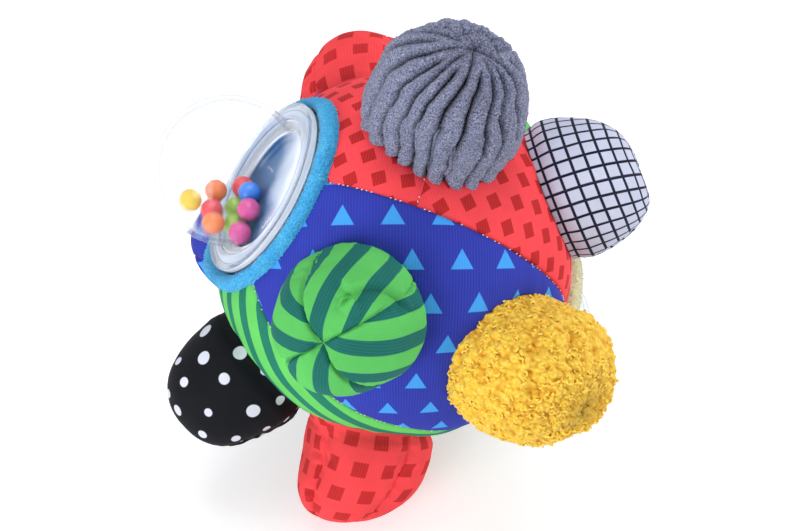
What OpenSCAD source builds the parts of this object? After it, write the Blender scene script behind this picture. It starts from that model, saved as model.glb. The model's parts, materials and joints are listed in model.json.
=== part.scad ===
// Soft sensory ball: five sewn gore panels round a stuffed body, ten stuffed
// knobs, two clear rattle domes with rolling beads and a chime in the middle.
// It stands on three of its bumps, so the whole ball is turned from its own
// sewing frame (first rattle dome up) into the pose that it rests in.

/* [Body] */
// Outside radius of the sewn body
ball_r = 59.5; // [50:0.5:75]
// Thickness of the panels' padded cloth
panel_t = 1.6; // [0.8:0.1:2.5]
// Gap left between two sewn panels
seam_gap = 0.4; // [0.2:0.1:1]
// Clearance between soft pieces
soft_gap = 0.3; // [0.2:0.05:0.5]

/* [Printed knobs] */
// Radius of a printed knob where it is sewn in
knob_base_r = 20.8; // [17:0.1:22]
// Largest radius of a printed knob
knob_bulge_r = 22; // [18:0.1:23]
// Cloth thickness of the printed knobs
cloth_t = 1.2; // [0.8:0.1:2]
// Rise of the striped front knob above the body
front_rise = 26.5; // [20:0.5:32]
// Rise of the grid knob above the body
grid_rise = 26.5; // [20:0.5:32]
// Rise of the dotted knob above the body
dotted_rise = 28.5; // [20:0.5:32]
// Rise of the red knob that the ball stands on
stand_rise = 30.5; // [26:0.5:33]
// Rise of the red knob at the top
crown_rise = 27.5; // [20:0.5:32]
// Rise of the knobs at the back
back_rise = 27; // [24:0.5:30]

/* [Plush knobs] */
// Radius of a plush knob where it is sewn in
plush_base_r = 22.5; // [19:0.1:23]
// Largest radius of a plush knob
plush_bulge_r = 24.5; // [20:0.1:25]
// Thickness of the plush and its backing
plush_t = 2.2; // [1.5:0.1:3]
// Rise of the ribbed plush knob above the body
ribbed_rise = 34.5; // [26:0.5:38]
// Rise of the fleece knob above the body
fleece_rise = 29.5; // [24:0.5:34]

/* [Knob shape] */
// How far a side knob's tip sinks under its own weight
knob_droop = 5; // [0:0.5:6]
// Depth of the dimple where a knob's four seams meet
tip_dip = 1.2; // [0.2:0.1:2]
// Depth of the flat that each standing knob is pressed to
rest_cut = 0.5; // [0.3:0.1:0.8]

/* [Rattle domes] */
// Outside radius of the clear bubble
bubble_r = 23.8; // [21:0.1:26]
// Wall of the clear bubble
bubble_t = 1.6; // [1:0.1:2]
// Height of the bubble's centre above the underside of its flange
bubble_lift = 13.2; // [12:0.1:15]
// Width of the flange outside the bubble
flange_w = 5.5; // [4.5:0.1:6.5]
// Thickness of the bubble's flange
flange_t = 1.6; // [1:0.1:2]
// How deep the flange's edge is sunk into the ball
flange_sink = 0.5; // [0.2:0.1:1]
// Height of the two beads moulded on the flange
flange_bead_h = 0.8; // [0.4:0.1:1.2]
// Width of the two beads moulded on the flange
flange_bead_w = 1.6; // [1:0.1:2.2]
// Step from the inside of the bubble in to the inside of the cup
cup_step = 2; // [1.5:0.1:3]
// Wall of the white cup tray
cup_t = 1.5; // [1:0.1:2]
// Depth of the cup below the flange
cup_depth = 2.8; // [1:0.1:5]
// Distance of the tray's edge inside the flange's edge
tray_inset = 2.4; // [1.5:0.1:3.5]
// Thickness of the tray's rim
rim_t = 1.2; // [0.8:0.1:1.6]
// Radius of the plush collar's round roll
roll_r = 3.9; // [3:0.1:4.5]
// Width of the collar's sewn-in band
band_w = 3.2; // [2:0.1:4]
// Depth of the collar's sewn-in band below the flange
band_depth = 4.8; // [3:0.1:6]

/* [Beads] */
// Radius of a rolling bead
bead_r = 3.8; // [3:0.1:4]
// Gap between neighbouring beads, and to the walls
bead_gap = 0.2; // [0.15:0.05:0.4]

/* [Chime] */
// Outside radius of the chime capsule
case_r = 24; // [22:0.5:28]
// Wall of the chime capsule
case_t = 1.6; // [1.2:0.1:2]
// Height of the lap between the capsule's halves
lap_h = 1.5; // [1:0.1:2.5]
// Width and height of the ledge that carries the hub
ledge_w = 2.6; // [2:0.1:3.5]
// Thickness of the hub plate
hub_t = 2.4; // [1.6:0.1:3]
// Radius of a chime rod
rod_r = 1; // [0.8:0.1:1.3]
// Room between the longest rod and the capsule
rod_room = 2.6; // [1:0.1:5]
// How much shorter each rod is than the one before it
rod_cut = 0.7; // [0:0.1:1]
// Number of rods
rod_count = 6; // [4:2:8]
// Radius of the striker's pivot pin
pin_r = 1; // [0.8:0.1:1.3]
// Height of the pivot above the hub plate
pivot_h = 3.5; // [3:0.1:5]
// Thickness of each pivot ear
ear_t = 1.8; // [1.2:0.1:2.5]
// Radius of the striker's ball
striker_r = 4.5; // [3.5:0.1:5]
// Room between the hub plate and the striker's ball
striker_room = 3.5; // [2.5:0.1:5]
// Gap between the striker's ball and a rod at the end of its swing
strike_gap = 0.27; // [0.2:0.01:0.5]

/* [Hidden] */
$fn = 96;
swing_angle = 36;
over = 1;
running_gap = 0.06;
fit_gap = 0.1;
knob_sides = 16;
knob_rings = 6;
seam_dip_share = 0.07;
side_power_share = 0.62;
rise_power_share = 0.85;
roll_out_share = 0.77;

// A dome's places on its own axis, measured from the ball's centre
flange_r = bubble_r + flange_w;
flange_z = sqrt(ball_r * ball_r - flange_r * flange_r) - flange_sink;
bubble_z = flange_z + bubble_lift;
cup_r = bubble_r - bubble_t - cup_step;
cup_floor_z = flange_z - cup_depth;
tray_r = flange_r - tray_inset;
collar_out_r = tray_r + soft_gap + band_w;

// Places in the sewing frame: polar angle from the first dome, azimuth
front_angles = [64.3, 0];
left_dome_angles = [0, 0];
back_dome_angles = [168.3, 185];
seam_angles = [302, 377, 457, 526, 587, 662];
pole_trim = cup_r / 2;
core_r = ball_r - panel_t - soft_gap;
skin_r = ball_r + soft_gap;

// One row a knob: name, polar, azimuth, width share, rise, droop share, turn of
// its seams, plush or not, colour
KNOBS = [
  ["front_knob", 63, 336, 1.03, front_rise, 0.3, 20, false, "limegreen"],
  ["ribbed_knob", 65.5, 47.5, 1, ribbed_rise, 0.3, 45, true, "slategray"],
  ["fleece_knob", 117, 347.5, 1, fleece_rise, 0.6, 45, true, "gold"],
  ["grid_knob", 121.5, 59.5, 1.03, grid_rise, 1, 30, false, "white"],
  ["dotted_knob", 70, 254, 0.96, dotted_rise, 0.8, 20, false, "dimgray"],
  ["stand_knob", 108.5, 270.5, 1, stand_rise, 0, 30, false, "tomato"],
  ["crown_knob", 72.5, 134.5, 0.98, crown_rise, 0.5, 40, false, "tomato"],
  ["green_back_knob", 116.5, 129.6, 0.96, back_rise, 0.6, 45, false, "limegreen"],
  ["plush_back_knob", 109, 198, 0.98, back_rise, 0, 45, false, "skyblue"],
  ["blue_back_knob", 64, 200.5, 0.96, back_rise, 0.6, 45, false, "royalblue"],
];
STAND_A = KNOBS[5];
STAND_B = KNOBS[8];

// One row a panel, in the order of the seams: name and colour
PANELS = [
  ["blue_front_panel", "mediumblue"],
  ["red_front_panel", "red"],
  ["blue_back_panel", "mediumblue"],
  ["red_back_panel", "red"],
  ["green_panel", "green"],
];

// Unit vectors of a site in the sewing frame
function site_z(s) = [sin(s[0]) * cos(s[1]), sin(s[0]) * sin(s[1]), cos(s[0])];
function site_x(s) = [cos(s[0]) * cos(s[1]), cos(s[0]) * sin(s[1]), -sin(s[0])];
function site_y(s) = [-sin(s[1]), cos(s[1]), 0];
function from_site(s, q) = q[0] * site_x(s) + q[1] * site_y(s) + q[2] * site_z(s);
function azimuth_at(s, v) = atan2(v * site_y(s), v * site_x(s));
function knob_site(k) = [k[1], k[2]];
function knob_turn(k) = k[2] < seam_angles[0] ? k[2] + 360 : k[2];
function is_standing(k) = k == STAND_A || k == STAND_B;

// Sizes of one knob
function base_r(k) = k[3] * (k[7] ? plush_base_r : knob_base_r);
function bulge_r(k) = k[3] * (k[7] ? plush_bulge_r : knob_bulge_r);
function wall(k) = k[7] ? plush_t : cloth_t;
function top_z(k) = ball_r + k[4];
function seat_z(r) = sqrt(pow(core_r + 2 * soft_gap, 2) - r * r);
function foot_z(k) = seat_z(base_r(k) - wall(k));

// One ring of a knob's surface, drawn in by inset, at step i of its rise
function ring_angle(i) = 90 * (i - 0.5) / knob_rings;
function dip(j, i) = 1 - seam_dip_share * pow(abs(cos(720 * j / knob_sides)), 3) * sin(ring_angle(i));
function ring_r(k, inset, i) =
  i == 0 ? base_r(k) - inset : (bulge_r(k) - inset) * pow(cos(ring_angle(i)), side_power_share);
function ring_z(k, inset, i) =
  i == 0 ? foot_z(k)
  : foot_z(k) + (top_z(k) - inset - foot_z(k)) * pow(sin(ring_angle(i)), rise_power_share);
function lean(k, sag, z) = sag * pow((z - foot_z(k)) / (top_z(k) - foot_z(k)), 2);
function ring_at(k, sag, r, z, i) = [
  for (j = [0:knob_sides - 1])
    let (a = k[6] + 360 * j / knob_sides, rr = i == 0 ? r : r * dip(j, i))
      [rr * cos(a) + lean(k, sag, z)[0], rr * sin(a) + lean(k, sag, z)[1], z]
];
function knob_ring(k, sag, inset, i) = ring_at(k, sag, ring_r(k, inset, i), ring_z(k, inset, i), i);
function knob_tip(k, sag, inset) =
  let (z = top_z(k) - inset - tip_dip) [lean(k, sag, z)[0], lean(k, sag, z)[1], z];

// The plane that touches three balls: centre and radius of each
function touch_normal(p1, r1, p2, r2, p3, r3) =
  let (
    a = p1 - p3,
    b = p2 - p3,
    w = cross(a, b),
    flat = ((r3 - r1) * cross(b, w) + (r3 - r2) * cross(w, a)) / (w * w),
    rest = sqrt(1 - flat * flat),
    side = w * p3 > 0 ? 1 : -1
  ) flat + side * rest * w / norm(w);

// How far a standing knob reaches along n, less the flat pressed into it
function ring_points(k) = [for (i = [1:knob_rings]) each knob_ring(k, [0, 0], 0, i)];
function reach_along(k, n) = max([for (q = ring_points(k)) from_site(knob_site(k), q) * n]) - rest_cut;
function knob_heart(k) = (top_z(k) - bulge_r(k)) * site_z(knob_site(k));
function heart_r(k, n) = reach_along(k, n) - knob_heart(k) * n;
function floor_normal(n, rounds) =
  rounds == 0 ? n
  : floor_normal(
      touch_normal(
        knob_heart(STAND_A), heart_r(STAND_A, n),
        knob_heart(STAND_B), heart_r(STAND_B, n),
        bubble_z * site_z(back_dome_angles), bubble_r
      ), rounds - 1
    );
first_normal = touch_normal(
  knob_heart(STAND_A), bulge_r(STAND_A),
  knob_heart(STAND_B), bulge_r(STAND_B),
  bubble_z * site_z(back_dome_angles), bubble_r
);
down = floor_normal(first_normal, 6);
seat_h = bubble_z * site_z(back_dome_angles) * down + bubble_r;

// Axes of the resting frame, written in the sewing frame
rest_z = -down;
front = site_z(front_angles);
front_flat = front - (front * rest_z) * rest_z;
rest_y = -front_flat / norm(front_flat);
rest_x = cross(rest_y, rest_z);

// Sag of a knob: the part of down that lies across its axis
function sag_of(k) = knob_droop * k[5] * [down * site_x(knob_site(k)), down * site_y(knob_site(k))];

// Bead tracks: radius and height of the ring that the beads roll on, number
bead_pitch = 2 * bead_r + bead_gap;
reach_r = bubble_r - bubble_t - bead_r - bead_gap;
corner_r = cup_r - bead_r - bead_gap;
corner_z = cup_floor_z + bead_r + bead_gap;
corner_far = norm([corner_r, corner_z - bubble_z]);
corner_polar = atan2(corner_r, corner_z - bubble_z);
second_turn = acos((pow(reach_r, 2) + pow(corner_far, 2) - pow(bead_pitch, 2)) / (2 * reach_r * corner_far));
second_polar = corner_polar - second_turn;
wall_step = 2 * asin(bead_pitch / 2 / reach_r);
function wall_track(polar, r, count) = [r * sin(polar), bubble_z + r * cos(polar), count];
left_tracks = [
  [corner_r, corner_z, 4],
  [corner_r - bead_pitch, corner_z, 2],
  wall_track(second_polar, reach_r, 3),
  wall_track(second_polar - wall_step, reach_r, 1),
];
hang_polar = acos(down * site_z(back_dome_angles));
back_tracks = [
  wall_track(hang_polar, reach_r, 3),
  wall_track(hang_polar + wall_step, reach_r, 3),
  wall_track(hang_polar - wall_step, reach_r, 1),
  wall_track(hang_polar, reach_r - bead_pitch, 1),
];
function bead_spots(tracks, s) = [
  for (t = tracks)
    let (step = t[2] > 1 ? 2 * asin(bead_pitch / 2 / t[0]) : 0, mid = azimuth_at(s, down))
      for (j = [0:t[2] - 1])
        let (a = mid + (j - (t[2] - 1) / 2) * step)
          [t[0] * cos(a), t[0] * sin(a), t[1]]
];
left_beads = bead_spots(left_tracks, left_dome_angles);
back_beads = bead_spots(back_tracks, back_dome_angles);
bead_colors = ["gold", "coral", "deepskyblue", "orchid", "tomato", "yellowgreen"];

// Chime, upright at the ball's centre
case_in_r = case_r - case_t;
hub_r = case_in_r - ledge_w / 4;
ear_gap = 2 * pin_r + rod_r;
pivot_z = fit_gap + hub_t + pivot_h;
striker_drop = pivot_z + striker_r + striker_room;
rod_circle_r = striker_drop * sin(swing_angle) + striker_r + rod_r + strike_gap;
rod_drop = sqrt(case_in_r * case_in_r - pow(rod_circle_r + rod_r, 2)) - rod_room;
slot_w = 2 * (rod_r + running_gap + rod_r / 2);
slot_l = rod_circle_r - rod_r;

// Turns the sewing frame into the resting frame and stands it on the floor
module at_rest() {
  multmatrix([
    [rest_x[0], rest_x[1], rest_x[2], 0],
    [rest_y[0], rest_y[1], rest_y[2], 0],
    [rest_z[0], rest_z[1], rest_z[2], seat_h],
    [0, 0, 0, 1],
  ]) children();
}

module at_site(s) {
  rotate([0, s[0], s[1]]) children();
}

// A closed skin over a list of rings, from a start point to an end point
module ring_solid(start, rings, end) {
  n = len(rings[0]);
  last = len(rings) - 1;
  points = concat([start], [for (r = rings) each r], [end]);
  faces = concat(
    [for (j = [0:n - 1]) [0, 1 + j, 1 + (j + 1) % n]],
    [
      for (i = [0:last - 1]) for (j = [0:n - 1])
        let (a = 1 + i * n + j, b = 1 + i * n + (j + 1) % n)
          each [[a, a + n, b + n], [a, b + n, b]]
    ],
    [for (j = [0:n - 1]) [len(points) - 1, 1 + last * n + (j + 1) % n, 1 + last * n + j]]
  );
  polyhedron(points, faces);
}

// Keeps what is above the floor
module above_floor() {
  difference() {
    children();
    translate([-2 * ball_r, -2 * ball_r, -ball_r]) cube([4 * ball_r, 4 * ball_r, ball_r]);
  }
}

module cover_skin(k) {
  sag = sag_of(k);
  inner = [for (i = [knob_rings:-1:0]) knob_ring(k, sag, wall(k), i)];
  outer = [for (i = [0:knob_rings]) knob_ring(k, sag, 0, i)];
  at_rest() at_site(knob_site(k))
    ring_solid(knob_tip(k, sag, wall(k)), concat(inner, outer), knob_tip(k, sag, 0));
}

module knob_cover(k) {
  color(k[8]) {
    if (is_standing(k)) {
      above_floor() cover_skin(k);
    } else {
      cover_skin(k);
    }
  }
}

// The stuffing follows the body below it and the cover round it
module knob_filling(k) {
  sag = sag_of(k);
  inset = wall(k) + soft_gap;
  foot_r = base_r(k) - inset;
  low = [for (s = [0.5, 1]) ring_at(k, sag, foot_r * s, seat_z(foot_r * s) + soft_gap, 0)];
  rings = [for (i = [1:knob_rings]) knob_ring(k, sag, inset, i)];
  color("ivory") at_rest() at_site(knob_site(k))
    ring_solid([0, 0, seat_z(0) + soft_gap], concat(low, rings), knob_tip(k, sag, inset));
}

module dome_hole(s, r, low) {
  at_site(s) translate([0, 0, low]) cylinder(r = r, h = ball_r);
}

// One gore of the body, from seam to seam, with its knobs and domes cut out
module gore_panel(i) {
  gap_angle = asin(seam_gap / 2 / ball_r);
  first = seam_angles[i] + gap_angle;
  last = seam_angles[i + 1] - gap_angle;
  color(PANELS[i][1]) at_rest() difference() {
    rotate([0, 0, first]) rotate_extrude(angle = last - first) difference() {
      circle(r = ball_r);
      circle(r = ball_r - panel_t);
      translate([pole_trim - 2 * ball_r, -ball_r]) square([2 * ball_r, 2 * ball_r]);
    }
    for (k = KNOBS) {
      if (knob_turn(k) > first && knob_turn(k) < last) {
        dome_hole(knob_site(k), base_r(k) + soft_gap, core_r / 2);
      }
    }
    dome_hole(left_dome_angles, collar_out_r + soft_gap, core_r / 2);
    dome_hole(back_dome_angles, collar_out_r + soft_gap, core_r / 2);
  }
}

// Stuffing of the body, with a pocket for each dome and for the chime
module body_filling() {
  color("ivory") at_rest() difference() {
    sphere(r = core_r);
    sphere(r = case_r + soft_gap);
    for (s = [left_dome_angles, back_dome_angles]) {
      dome_hole(s, collar_out_r + soft_gap, flange_z - band_depth - soft_gap);
      dome_hole(s, cup_r + cup_t + soft_gap, cup_floor_z - cup_t - soft_gap);
    }
  }
}

// Clear bubble: most of a sphere, a short neck and a flange with two beads
module bubble(s) {
  neck_r = cup_r + bubble_t;
  flange_top = flange_z + flange_t;
  color("lightcyan", 0.4) at_rest() at_site(s) rotate_extrude() difference() {
    union() {
      translate([0, bubble_z]) circle(r = bubble_r);
      translate([0, flange_z]) square([neck_r, bubble_z - flange_z - bubble_r / 3]);
      translate([0, flange_z]) square([flange_r, flange_t]);
      translate([flange_r - flange_bead_w, flange_z]) square([flange_bead_w, flange_t + flange_bead_h]);
      translate([neck_r + flange_bead_w / 2, flange_top]) circle(r = flange_bead_h);
    }
    translate([0, bubble_z]) circle(r = bubble_r - bubble_t);
    translate([0, flange_z - over]) square([cup_r, bubble_z - flange_z]);
    translate([-2 * bubble_r, 0]) square([2 * bubble_r, 2 * bubble_z]);
    translate([0, flange_z - bubble_r]) square([flange_r + over, bubble_r]);
  }
}

// White cup under the bubble, with a rim that the flange sits on
module tray(s) {
  rim_top = flange_z - fit_gap;
  color("white") at_rest() at_site(s) rotate_extrude() difference() {
    union() {
      translate([0, cup_floor_z - cup_t]) square([cup_r + cup_t, rim_top - cup_floor_z + cup_t]);
      translate([0, rim_top - rim_t]) square([tray_r, rim_t]);
    }
    translate([-over, cup_floor_z]) square([cup_r + over, cup_depth + over]);
    translate([-2 * tray_r, 0]) square([2 * tray_r, bubble_z]);
  }
}

// Plush collar: a roll that lies on the body and a band sewn in under it
module collar(s, tint) {
  roll_x = flange_r + roll_out_share * roll_r;
  roll_z = sqrt(ball_r * ball_r - roll_x * roll_x);
  color(tint) at_rest() at_site(s) rotate_extrude() difference() {
    union() {
      difference() {
        translate([roll_x, roll_z]) circle(r = roll_r);
        circle(r = skin_r);
      }
      translate([collar_out_r - band_w, flange_z - band_depth]) square([band_w, band_depth - soft_gap]);
      translate([flange_r + soft_gap, flange_z - band_depth])
        square([collar_out_r - flange_r - soft_gap, band_depth + flange_t]);
    }
    translate([0, flange_z - soft_gap]) square([flange_r + soft_gap, bubble_r]);
  }
}

module bead(s, spots, i) {
  color(bead_colors[i % len(bead_colors)]) at_rest() at_site(s) translate(spots[i]) sphere(r = bead_r);
}

module at_chime() {
  translate([0, 0, seat_h]) children();
}

// Lower half of the capsule, with a ledge for the hub and a lip for the lap
module chime_case_lower() {
  color("gainsboro") at_chime() rotate_extrude() difference() {
    union() {
      difference() {
        circle(r = case_r);
        circle(r = case_in_r);
        translate([-over, 0]) square([2 * case_r, case_r]);
      }
      translate([case_in_r, -ledge_w]) square([case_t / 2 - fit_gap, ledge_w + lap_h]);
      intersection() {
        translate([case_in_r - ledge_w, -ledge_w]) square([ledge_w + fit_gap, ledge_w]);
        circle(r = case_in_r + case_t / 2);
      }
    }
    translate([-2 * case_r, -case_r]) square([2 * case_r, 2 * case_r]);
  }
}

// Upper half of the capsule, with a rib that holds the hub down
module chime_case_upper() {
  rib_z = fit_gap + hub_t + fit_gap;
  color("gainsboro") at_chime() rotate_extrude() difference() {
    union() {
      difference() {
        circle(r = case_r);
        circle(r = case_in_r);
      }
      intersection() {
        translate([case_in_r - ledge_w, rib_z]) square([ledge_w, ledge_w]);
        circle(r = case_in_r + fit_gap);
      }
    }
    translate([0, -case_r]) square([case_r, case_r + fit_gap]);
    square([case_in_r + case_t / 2, lap_h + fit_gap]);
    translate([-2 * case_r, -case_r]) square([2 * case_r, 2 * case_r]);
  }
}

// Hub plate with rod holes, a slot for the striker's stem and two ears
module chime_hub() {
  color("silver") at_chime() difference() {
    union() {
      translate([0, 0, fit_gap]) cylinder(r = hub_r, h = hub_t);
      for (side = [-1, 1]) {
        translate([side * (ear_gap + ear_t) / 2, 0, fit_gap + hub_t]) ear();
      }
    }
    for (i = [0:rod_count - 1]) {
      rotate([0, 0, 90 + 360 * i / rod_count]) translate([rod_circle_r, 0, 0])
        cylinder(r = rod_r + running_gap, h = hub_t + over);
    }
    translate([-slot_w / 2, -slot_l / 2, 0]) cube([slot_w, slot_l, hub_t + over]);
    translate([-ear_gap - ear_t, 0, pivot_z]) rotate([0, 90, 0])
      cylinder(r = pin_r + running_gap, h = 2 * (ear_gap + ear_t));
  }
}

module ear() {
  translate([-ear_t / 2, -2 * pin_r, -over / 2]) cube([ear_t, 4 * pin_r, pivot_h + over / 2]);
  translate([-ear_t / 2, 0, pivot_h]) rotate([0, 90, 0]) cylinder(r = 2 * pin_r, h = ear_t);
}

// Tuned rods, each shorter than the one before it
module chime_rods() {
  color("lightgray") at_chime() for (i = [0:rod_count - 1]) {
    rotate([0, 0, 90 + 360 * i / rod_count]) translate([rod_circle_r, 0, rod_cut * i - rod_drop])
      cylinder(r = rod_r, h = rod_drop - rod_cut * i + fit_gap + hub_t);
  }
}

module striker_pin() {
  pin_l = ear_gap + 2 * ear_t;
  color("gray") at_chime() translate([0, 0, pivot_z]) rotate([0, 90, 0]) {
    translate([0, 0, -pin_l / 2]) cylinder(r = pin_r, h = pin_l);
    translate([0, 0, -pin_l / 2 - fit_gap - pin_r]) cylinder(r = 1.5 * pin_r, h = pin_r);
    translate([0, 0, -pin_l / 2 - fit_gap]) cylinder(r = pin_r, h = fit_gap + over);
  }
}

// Swinging striker: an eye on the pin, a stem through the slot and a ball
module chime_striker() {
  color("orange") at_chime() translate([0, 0, pivot_z]) difference() {
    union() {
      rotate([0, 90, 0]) translate([0, 0, fit_gap - ear_gap / 2])
        cylinder(r = 2 * pin_r, h = ear_gap - 2 * fit_gap);
      translate([0, 0, -striker_drop]) cylinder(r = rod_r, h = striker_drop - pin_r);
      translate([0, 0, -striker_drop]) sphere(r = striker_r);
    }
    rotate([0, 90, 0]) translate([0, 0, -ear_gap]) cylinder(r = pin_r + running_gap, h = 2 * ear_gap);
  }
}

for (i = [0:len(PANELS) - 1]) {
  gore_panel(i);
}
for (k = KNOBS) {
  knob_cover(k);
  knob_filling(k);
}
body_filling();
bubble(left_dome_angles);  // left_bubble
tray(left_dome_angles);  // left_tray
collar(left_dome_angles, "deepskyblue");  // left_collar
bubble(back_dome_angles);  // back_bubble
tray(back_dome_angles);  // back_tray
collar(back_dome_angles, "gold");  // back_collar
chime_case_lower();
chime_case_upper();
chime_hub();
chime_rods();
striker_pin();
chime_striker();
for (i = [0:len(left_beads) - 1]) {
  bead(left_dome_angles, left_beads, i);
}
for (i = [0:len(back_beads) - 1]) {
  bead(back_dome_angles, back_beads, i);
}
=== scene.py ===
# Soft sensory ball: sewn gores, stuffed knobs, plush collars and clear rattle domes
import json
import math
import random
from functools import partial

import bmesh
import bpy
from mathutils import Matrix, Vector, noise


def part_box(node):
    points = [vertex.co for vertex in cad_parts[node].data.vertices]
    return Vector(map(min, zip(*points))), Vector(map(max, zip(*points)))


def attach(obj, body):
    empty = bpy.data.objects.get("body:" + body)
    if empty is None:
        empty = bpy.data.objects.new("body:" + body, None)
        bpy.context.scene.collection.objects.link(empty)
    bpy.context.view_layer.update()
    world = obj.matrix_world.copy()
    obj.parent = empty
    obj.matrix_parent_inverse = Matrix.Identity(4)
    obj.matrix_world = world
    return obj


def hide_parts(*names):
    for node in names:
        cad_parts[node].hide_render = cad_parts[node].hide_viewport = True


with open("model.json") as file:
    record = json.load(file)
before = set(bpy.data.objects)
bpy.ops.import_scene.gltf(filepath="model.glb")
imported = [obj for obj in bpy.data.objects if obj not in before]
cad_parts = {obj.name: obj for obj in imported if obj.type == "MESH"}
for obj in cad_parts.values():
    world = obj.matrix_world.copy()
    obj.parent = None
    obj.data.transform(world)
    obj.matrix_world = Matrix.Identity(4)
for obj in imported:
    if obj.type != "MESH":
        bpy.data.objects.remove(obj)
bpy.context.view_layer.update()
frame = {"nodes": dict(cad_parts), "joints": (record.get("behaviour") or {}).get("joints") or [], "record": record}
mm = 0.001
print("frame loaded")

# Sizes of the ball and its places, as the frame has them
ball = {
    "radius": 59.5 * mm,
    "panelThickness": 1.6 * mm,
    "softGap": 0.3 * mm,
    "backDomeAngles": (168.3, 185),
    "knobSag": 5 * mm,
}
jointByName = {joint["name"]: joint for joint in frame["joints"]}
leftAxis = Vector(jointByName["left_corner_roll"]["axis"]).normalized()
backAxis = Vector(jointByName["back_tip_roll"]["axis"]).normalized()
ballCentre = Vector(jointByName["left_corner_roll"]["pos_m"])


def sewingTurn():
    across = (backAxis - leftAxis * backAxis.dot(leftAxis)).normalized()
    sewX = Matrix.Rotation(math.radians(-ball["backDomeAngles"][1]), 3, leftAxis) @ across
    return Matrix((sewX, leftAxis.cross(sewX), leftAxis)).transposed()


sewing = sewingTurn()


def siteMatrix(angles):  # polar angle from the left dome, azimuth
    polar, azimuth = map(math.radians, angles)
    turn = Matrix.Rotation(azimuth, 3, "Z") @ Matrix.Rotation(polar, 3, "Y")
    return Matrix.Translation(ballCentre) @ (sewing @ turn).to_4x4()


def unitAt(polar, azimuth):
    return Vector((math.sin(polar) * math.cos(azimuth), math.sin(polar) * math.sin(azimuth), math.cos(polar)))


# Helpers for heights over a surface
def bell(away, width):  # 1 in the middle, falling off on both sides
    return math.exp(-((away / width) ** 2))


def fade(away, width):  # 1 at an edge, dying away from it
    return math.exp(-away / width)


def ramp(away, width):  # up from 0 to 1, and level from there
    return min(max(away / width, 0), 1)


def noiseAt(place, size):
    return noise.noise(place / size)


def meshFrom(name, work):
    mesh = bpy.data.meshes.new(name)
    work.to_mesh(mesh)
    work.free()
    return mesh


def addObject(name, data):
    made = bpy.data.objects.new(name, data)
    bpy.context.scene.collection.objects.link(made)
    return made


# Node helpers for the procedural finishes
def newFinish(name, roughness=0.8, sheen=0.0):
    finish = bpy.data.materials.new(name)
    finish.use_nodes = True
    shader = finish.node_tree.nodes["Principled BSDF"]
    shader.inputs["Roughness"].default_value = roughness
    shader.inputs["Sheen Weight"].default_value = sheen
    return finish, finish.node_tree, shader


def mathNode(tree, operation, first, second=0.0, third=0.0):
    node = tree.nodes.new("ShaderNodeMath")
    node.operation = operation
    for socket, value in zip(node.inputs, (first, second, third)):
        if isinstance(value, (int, float)):
            socket.default_value = value
        else:
            tree.links.new(value, socket)
    return node.outputs[0]


def blendColours(tree, share, first, second):
    node = tree.nodes.new("ShaderNodeMix")
    node.data_type = "RGBA"
    for socket, value in ((node.inputs["Factor"], share), (node.inputs["A"], first), (node.inputs["B"], second)):
        if isinstance(value, tuple):
            socket.default_value = (*value, 1)
        elif isinstance(value, float):
            socket.default_value = value
        else:
            tree.links.new(value, socket)
    return node.outputs["Result"]


def fromSrgb(code):  # a six-digit colour as linear values
    parts = [int(code[i : i + 2], 16) / 255 for i in (0, 2, 4)]
    return tuple(p / 12.92 if p <= 0.04045 else ((p + 0.055) / 1.055) ** 2.4 for p in parts)


def objectNoise(tree, size, detail=3.0):  # size is the width of one blotch
    places = tree.nodes.new("ShaderNodeTexCoord")
    node = tree.nodes.new("ShaderNodeTexNoise")
    node.inputs["Scale"].default_value = 1 / size
    node.inputs["Detail"].default_value = detail
    tree.links.new(places.outputs["Object"], node.inputs["Vector"])
    return node.outputs["Fac"]


def spread(tree, value, low, high):  # 0 below low, 1 above high
    node = tree.nodes.new("ShaderNodeMapRange")
    node.inputs["From Min"].default_value = low
    node.inputs["From Max"].default_value = high
    tree.links.new(value, node.inputs["Value"])
    return node.outputs["Result"]


def clothPlaces(tree):  # the cloth's own flat coordinates, in millimetres
    places = tree.nodes.new("ShaderNodeTexCoord")
    parts = tree.nodes.new("ShaderNodeSeparateXYZ")
    tree.links.new(places.outputs["UV"], parts.inputs[0])
    return parts.outputs[0], parts.outputs[1]


def raiseBump(tree, shader, height, depth):
    node = tree.nodes.new("ShaderNodeBump")
    node.inputs["Distance"].default_value = depth
    node.inputs["Strength"].default_value = 1.0
    tree.links.new(height, node.inputs["Height"])
    tree.links.new(node.outputs[0], shader.inputs["Normal"])


# A motif in each cell of a skewed lattice: places in the cell and the cell's number
def latticeCell(tree, pitch, shift):
    sums = partial(mathNode, tree)
    across, along = clothPlaces(tree)
    row = sums("FLOOR", sums("DIVIDE", along, pitch[1]))
    column = sums("ADD", sums("DIVIDE", across, pitch[0]), sums("MULTIPLY", row, shift))
    inX = sums("MULTIPLY", sums("SUBTRACT", sums("FRACT", column), 0.5), pitch[0])
    spot = sums("FRACT", sums("DIVIDE", along, pitch[1]))
    inY = sums("MULTIPLY", sums("SUBTRACT", spot, 0.5), pitch[1])
    return inX, inY, sums("FLOOR", column), row


def motifMask(tree, distance, soft=0.12):  # 1 inside, where the distance is below zero
    return mathNode(tree, "SUBTRACT", 1.0, spread(tree, distance, -soft, soft))


def panelSquares(tree):  # the body's red cloth, printed a little smaller and turned
    return squareMotif(tree, pitch=(9.5, 8.2), size=(4.4, 4.6), turn=20)


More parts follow.
